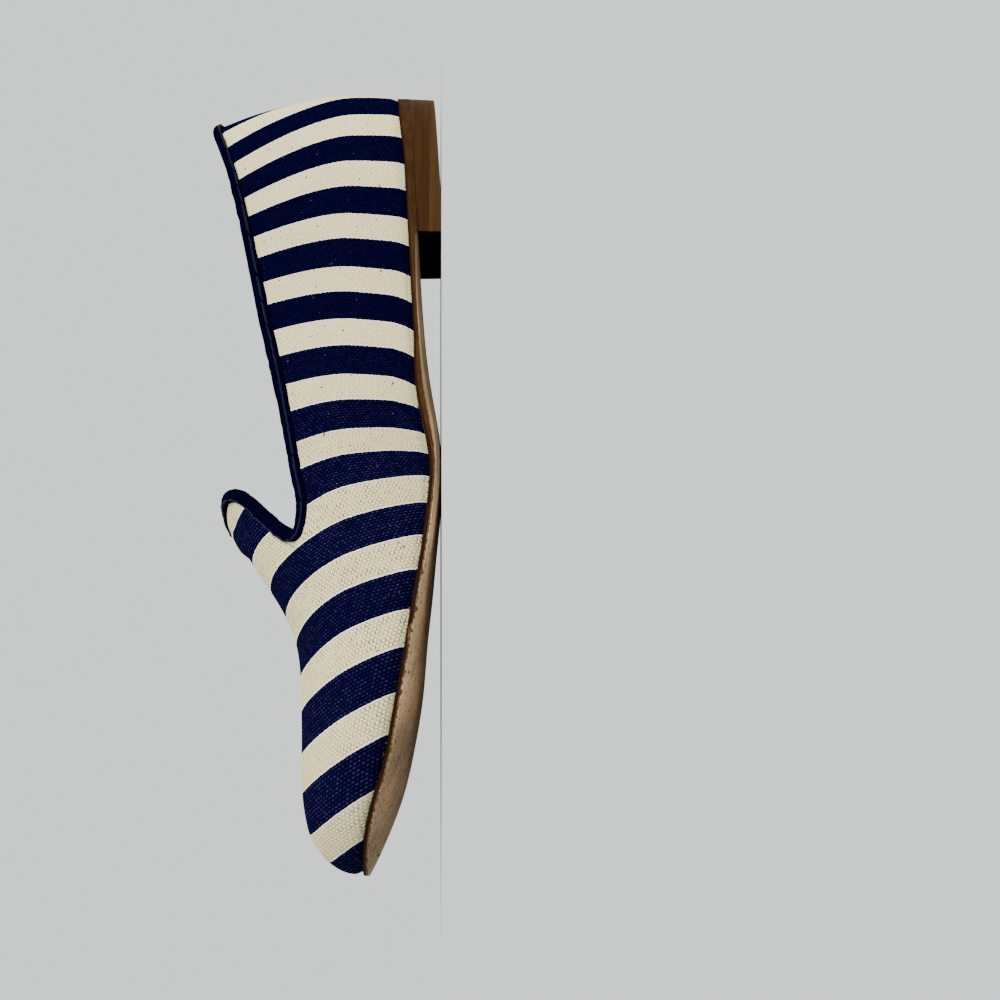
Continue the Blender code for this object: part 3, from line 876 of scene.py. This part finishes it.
thread, tree, shader = new_material("tape_thread")
place = tree.nodes.new("ShaderNodeTexCoord").outputs["Object"]
twist = mottled(tree, place, 2600.0, 1.0)["Noise"]
colour = mix_colour(tree, twist, (0.0006, 0.0006, 0.008, 1), (0.0045, 0.0045, 0.030, 1))
tree.links.new(colour, shader.inputs["Base Color"])
shader.inputs["Roughness"].default_value = 0.7
shader.inputs["IOR"].default_value = 1.2
add_bump(tree, shader, twist, 1.0, 0.1)
stitches.data.materials.append(thread)
for piece in (tape, stitches):
    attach(piece, "root")
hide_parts("topline_binding")


# Insole ----------------------------------------------------------------------
# A board that the upper is lasted under, faced with a leather sock; only the sock shows,
# through the collar.
insole = copy_of("insole", "sock_on_insole")
smooth_out(insole, 1)
insole.data.materials.append(
    leather("sock_leather", (0.52, 0.39, 0.25, 1), (0.40, 0.28, 0.16, 1), 0.5))
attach(insole, "root")
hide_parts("insole")


# Outsole ---------------------------------------------------------------------
# One thin leather sole, cemented on, stained brown at its edge and left natural underneath. The
# stain stops at a lip under the waist, and is rubbed to a rough fringe round the forefoot.

# The heel end is trimmed a little smaller behind SEAT_START, towards SEAT_MIDDLE. The sole is
# SOLE_THICK mm thick, and what lies over FIRM_BELOW mm under its top stays when the rim is raised.
SEAT_START, SEAT_FADE, SEAT_TRIM = -0.070, 0.02, 0.012
SEAT_MIDDLE = -0.1
SOLE_THICK = 3.2
FIRM_BELOW = 1.6

outsole = copy_of("outsole", "leather_outsole")
bpy.ops.object.mode_set(mode="EDIT")
bpy.ops.mesh.select_all(action="SELECT")
bpy.ops.mesh.subdivide(number_cuts=1)
bpy.ops.mesh.select_all(action="DESELECT")
bpy.ops.object.mode_set(mode="OBJECT")
bpy.ops.object.shade_smooth_by_angle(angle=math.radians(35))
for point in outsole.data.vertices:
    share = min(max((SEAT_START - point.co.x) / SEAT_FADE, 0), 1)
    point.co.x += (SEAT_MIDDLE - point.co.x) * SEAT_TRIM * share
    point.co.y -= point.co.y * SEAT_TRIM * share
spots = points_of(outsole)
facing = np.array([point.normal.z for point in outsole.data.vertices])
top = spots[facing > 0.75]
drops = np.array([top[np.argmin(((top[:, :2] - spot[:2]) ** 2).sum(1)), 2] - spot[2] for spot in spots])
drops[facing < -0.35] = SOLE_THICK
set_rim(outsole, lambda point: drops[point.index] <= FIRM_BELOW)
depth = outsole.data.attributes.new("depth_below_top", "FLOAT", "POINT")
depth.data.foreach_set("value", drops)

# The stained edge's two tones, and where it is rubbed; the painted shade in the crease under the
# canvas; the natural leather's two tones, its scuffs and its dirt; and a nick under the toe.
EDGE_BROWN = (0.034, 0.0140, 0.0040, 1), (0.054, 0.0235, 0.0070, 1)
RUBBED_BROWN = (0.048, 0.023, 0.009, 1), (0.125, 0.068, 0.034, 1)
CREVICE_SHADE = (0.016, 0.006, 0.0022, 1)
NATURAL = (0.335, 0.218, 0.128, 1), (0.205, 0.148, 0.082, 1)
SCUFFED = (0.20, 0.14, 0.075, 1)
DIRT = (0.07, 0.045, 0.02, 1)
DARK_DIRT = (0.035, 0.018, 0.008, 1)
NICK = Vector((0.1220, 0.00167, 0.0201))
NICK_SQUEEZE = Vector((1.0, 0.3, 1.0))

worn_sole, tree, shader = new_material("worn_sole_leather")
place = tree.nodes.new("ShaderNodeTexCoord").outputs["Object"]
axes = tree.nodes.new("ShaderNodeSeparateXYZ")
tree.links.new(place, axes.inputs[0])
forward = axes.outputs[0]
below = tree.nodes.new("ShaderNodeAttribute")
below.attribute_name = "depth_below_top"
below = below.outputs["Fac"]
forefoot = spread_map(tree, forward, -0.02, 0.03)

# Where the natural leather shows: below a level that frays round the forefoot, and nowhere under
# the heel, which is stained right down to the lifts.
fray = mottled(tree, place, 1150.0, 8.0, squeeze=(0.7, 1.0, 1.0))["Noise"]
fray = math_node(tree, "SUBTRACT", fray, 0.5)
fray = math_node(tree, "MULTIPLY", fray, math_node(tree, "MULTIPLY_ADD", forefoot, 3.2, 0.6))
level = math_node(tree, "SUBTRACT", math_node(tree, "ADD", below, fray), 0.5)
under_heel = spread_map(tree, forward, -0.0765, -0.0745, 1.0, 0.0)
level = math_node(tree, "MULTIPLY_ADD", under_heel, -6.0, level)
level = math_node(tree, "MULTIPLY_ADD", forefoot, -0.5, level)
natural = spread_map(tree, level, 1.45, 1.75)

# The stained edge: streaked brown, rubbed lighter round the forefoot, darker at the heel, and dark
# with painted shade in the crevice under the canvas.
streaks = mottled(tree, place, 420.0, 5.0, squeeze=(0.35, 1.0, 1.0))
brown = mix_colour(tree, streaks["Mask"], *EDGE_BROWN)
brown = mix_colour(tree, forefoot, brown,
                   mix_colour(tree, spread_map(tree, fray, -0.5, 0.6), *RUBBED_BROWN))
brown = tinted(tree, brown, spread_map(tree, forward, -0.080, -0.070, 0.78, 1.0))
# Painted shade in the crevice where the canvas meets the sole.
crevice = math_node(tree, "MULTIPLY_ADD", forefoot, -0.55, below)
brown = mix_colour(tree, spread_map(tree, crevice, 0.2, 0.75, 1.0, 0.0), brown, CREVICE_SHADE)

# The natural leather: blotched, duller at the waist, darker towards the heel with stain and
# painted shadow of the heel, paler with painted light where the edge turns under, and scuffed,
# pitted and walked dark under the forefoot.
blotch = mottled(tree, place, 70.0, 7.0, 0.35, 0.65, squeeze=(0.6, 1.0, 1.0))["Mask"]
tan = mix_colour(tree, blotch, *NATURAL)
tan = tinted(tree, tan, (0.68, 0.66, 0.64, 1), math_node(tree, "SUBTRACT", 1.0, forefoot))
# Darker towards the heel: partly stain, partly painted shadow of the heel.
tan = tinted(tree, tan, spread_map(tree, forward, -0.076, -0.046, 0.36, 1.0))
# Painted light: paler where the forefoot's edge turns under towards the floor.
painted_light_under = math_node(tree, "MULTIPLY", spread_map(tree, below, 2.2, 3.1),
                         spread_map(tree, forward, 0.06, 0.095, 1.0, 0.0))
painted_light_under = math_node(tree, "MULTIPLY", painted_light_under, forefoot)
tan = tinted(tree, tan, (2.0, 2.0, 2.0, 1), painted_light_under)
scuffs = mottled(tree, place, 300.0, 3.0, 0.58, 0.72, 0.0, 0.5, (0.12, 1.0, 1.0))["Mask"]
tan = mix_colour(tree, scuffs, tan, SCUFFED)
pits = mottled(tree, place, 900.0, 3.0, 0.63, 0.70, squeeze=(0.6, 1.0, 1.0))["Mask"]
tan = mix_colour(tree, math_node(tree, "MULTIPLY", pits, forefoot), tan, DIRT)
walked = math_node(tree, "MULTIPLY", spread_map(tree, forward, -0.01, 0.06),
                   mottled(tree, place, 160.0, 6.0, 0.3, 0.7, 0.35, 1.0)["Mask"])
tan = tinted(tree, tan, (0.84, 0.80, 0.80, 1), walked)
at_fringe = math_node(tree, "MULTIPLY", natural, spread_map(tree, level, 1.6, 2.1, 1.0, 0.0))
at_fringe = math_node(tree, "MULTIPLY", at_fringe, mottled(tree, place, 620.0, 2.0, 0.5, 0.6)["Mask"])
tan = mix_colour(tree, math_node(tree, "MULTIPLY", at_fringe, forefoot), tan, DARK_DIRT)
narrow = tree.nodes.new("ShaderNodeMapping")
narrow.inputs["Scale"].default_value = NICK_SQUEEZE
tree.links.new(place, narrow.inputs["Vector"])
nick = tree.nodes.new("ShaderNodeVectorMath")
nick.operation = "DISTANCE"
tree.links.new(narrow.outputs["Vector"], nick.inputs[0])
nick.inputs[1].default_value = NICK * NICK_SQUEEZE
dented = spread_map(tree, nick.outputs["Value"], 0.5 * MM, 0.9 * MM, 0.9, 0.0)
tan = mix_colour(tree, dented, tan, DARK_DIRT)

tree.links.new(mix_colour(tree, natural, brown, tan), shader.inputs["Base Color"])
shader.inputs["Roughness"].default_value = 0.65
shader.inputs["IOR"].default_value = 1.2
shader.inputs["Specular IOR Level"].default_value = 0.15
add_bump(tree, shader, math_node(tree, "ADD", streaks["Noise"], fray), 0.5, 0.25)
outsole.data.materials.append(worn_sole)
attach(outsole, "root")
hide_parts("outsole")


# Cement ----------------------------------------------------------------------
# Small beads of sole cement, squeezed out where the canvas meets the sole and left to dry brown
# and lumpy.
# How many beads there are, how far in mm they stand off the crease, and how lumpy they are.
BEADS = 26
BEAD_OFF = 0.1
LUMPS = 0.6

bpy.ops.mesh.primitive_ico_sphere_add(subdivisions=2, radius=0.5 * MM)
beads = bpy.context.object
beads.name = "cement_beads"
bead = points_of(beads)
rings = [tuple(face.vertices) for face in beads.data.polygons]
draw = random.Random(5)
points, faces = [], []
for turn in range(BEADS):
    place, normal, _ = draw.choice(feather_line)
    middle = place + normal * (BEAD_OFF * MM) - Vector((0, 0, BEAD_OFF * MM))
    size = [draw.uniform(0.5, 1.5), draw.uniform(0.4, 0.8), draw.uniform(0.4, 0.9)]
    faces += [[corner + len(points) for corner in ring] for ring in rings]
    for x, y, z in bead * size:
        spot = middle + Vector((x, y, z)) * MM
        points.append(spot + (spot - middle) * noise.noise(spot * 1800) * LUMPS)
beads.data.clear_geometry()
beads.data.from_pydata(points, [], faces)
pick(beads)
bpy.ops.object.shade_smooth()
beads.data.materials.append(
    leather("dried_cement", (0.085, 0.052, 0.028, 1), (0.05, 0.03, 0.016, 1), 0.45))
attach(beads, "root")


# Heel ------------------------------------------------------------------------
# Low stacked heel: lifts of brown sole leather pasted and pegged on under the sole, trimmed
# flush and stained, with a breast stained dark and painted almost black with shade. The top piece
# touches the floor.
leather_layers, ins, outs = new_group(
    "leather_layers",
    [("Vector", "Vector", None), ("Light", "Color", None), ("Dark", "Color", None)],
    [("Color", "Color"), ("Height", "Float")],
)
layers = mottled(leather_layers, ins.outputs["Vector"], 260.0, 3.0, squeeze=(0.12, 0.12, 3.2))
colour = mix_colour(leather_layers, layers["Mask"], ins.outputs["Light"], ins.outputs["Dark"])
leather_layers.links.new(colour, outs.inputs["Color"])
leather_layers.links.new(layers["Noise"], outs.inputs["Height"])


def stacked(name, light, dark, ior=1.3):
    """The stained edges of leather layers, as fine level lines of two tones."""
    made, tree, shader = new_material(name)
    place = tree.nodes.new("ShaderNodeTexCoord").outputs["Object"]
    lines = place_group(tree, leather_layers, Vector=place, Light=light, Dark=dark)
    tree.links.new(lines["Color"], shader.inputs["Base Color"])
    shader.inputs["Roughness"].default_value = 0.55
    shader.inputs["Specular IOR Level"].default_value = 0.12
    shader.inputs["IOR"].default_value = ior
    add_bump(tree, shader, lines["Height"], 0.3, 0.15)
    return made


# The least part of a face's normal that makes it level, or makes it face forward.
LEVEL, FORWARD = 0.85, 0.6

# The breast: a dark stain, painted almost black with shade.
breast_stain_and_shade = stacked("breast_stain_and_shade", (0.0012, 0.0004, 0.0002, 1), (0.0005, 0.0002, 0.0001, 1), 1.03)

# Each part of the heel with its two tones and how far, in mm, its top is raised and its underside
# lowered, to close on its neighbours.
for node, name, tones, closing in (
    ("heel_lift", "stacked_lift", ((0.040, 0.0155, 0.0034, 1), (0.026, 0.010, 0.0021, 1)), (0.66, 0.31)),
    ("top_piece", "worn_top_piece", ((0.056, 0.026, 0.0085, 1), (0.037, 0.017, 0.005, 1)), (0.0, 0.0)),
):
    lift = copy_of(node, name)
    for way, reach in zip((1, -1), closing):
        select_faces(lift, lambda centre, normal: normal.z * way > LEVEL)
        bpy.ops.transform.translate(value=(0, 0, way * reach * MM))
    bpy.ops.object.mode_set(mode="OBJECT")
    bpy.ops.object.shade_smooth_by_angle(angle=math.radians(35))
    lift.data.materials.append(stacked(name + "_edge", *tones))
    lift.data.materials.append(breast_stain_and_shade)
    select_faces(lift, lambda centre, normal: normal.x > FORWARD)
    lift.active_material_index = 1
    bpy.ops.object.material_slot_assign()
    bpy.ops.object.mode_set(mode="OBJECT")
    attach(lift, "root")
    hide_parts(node)
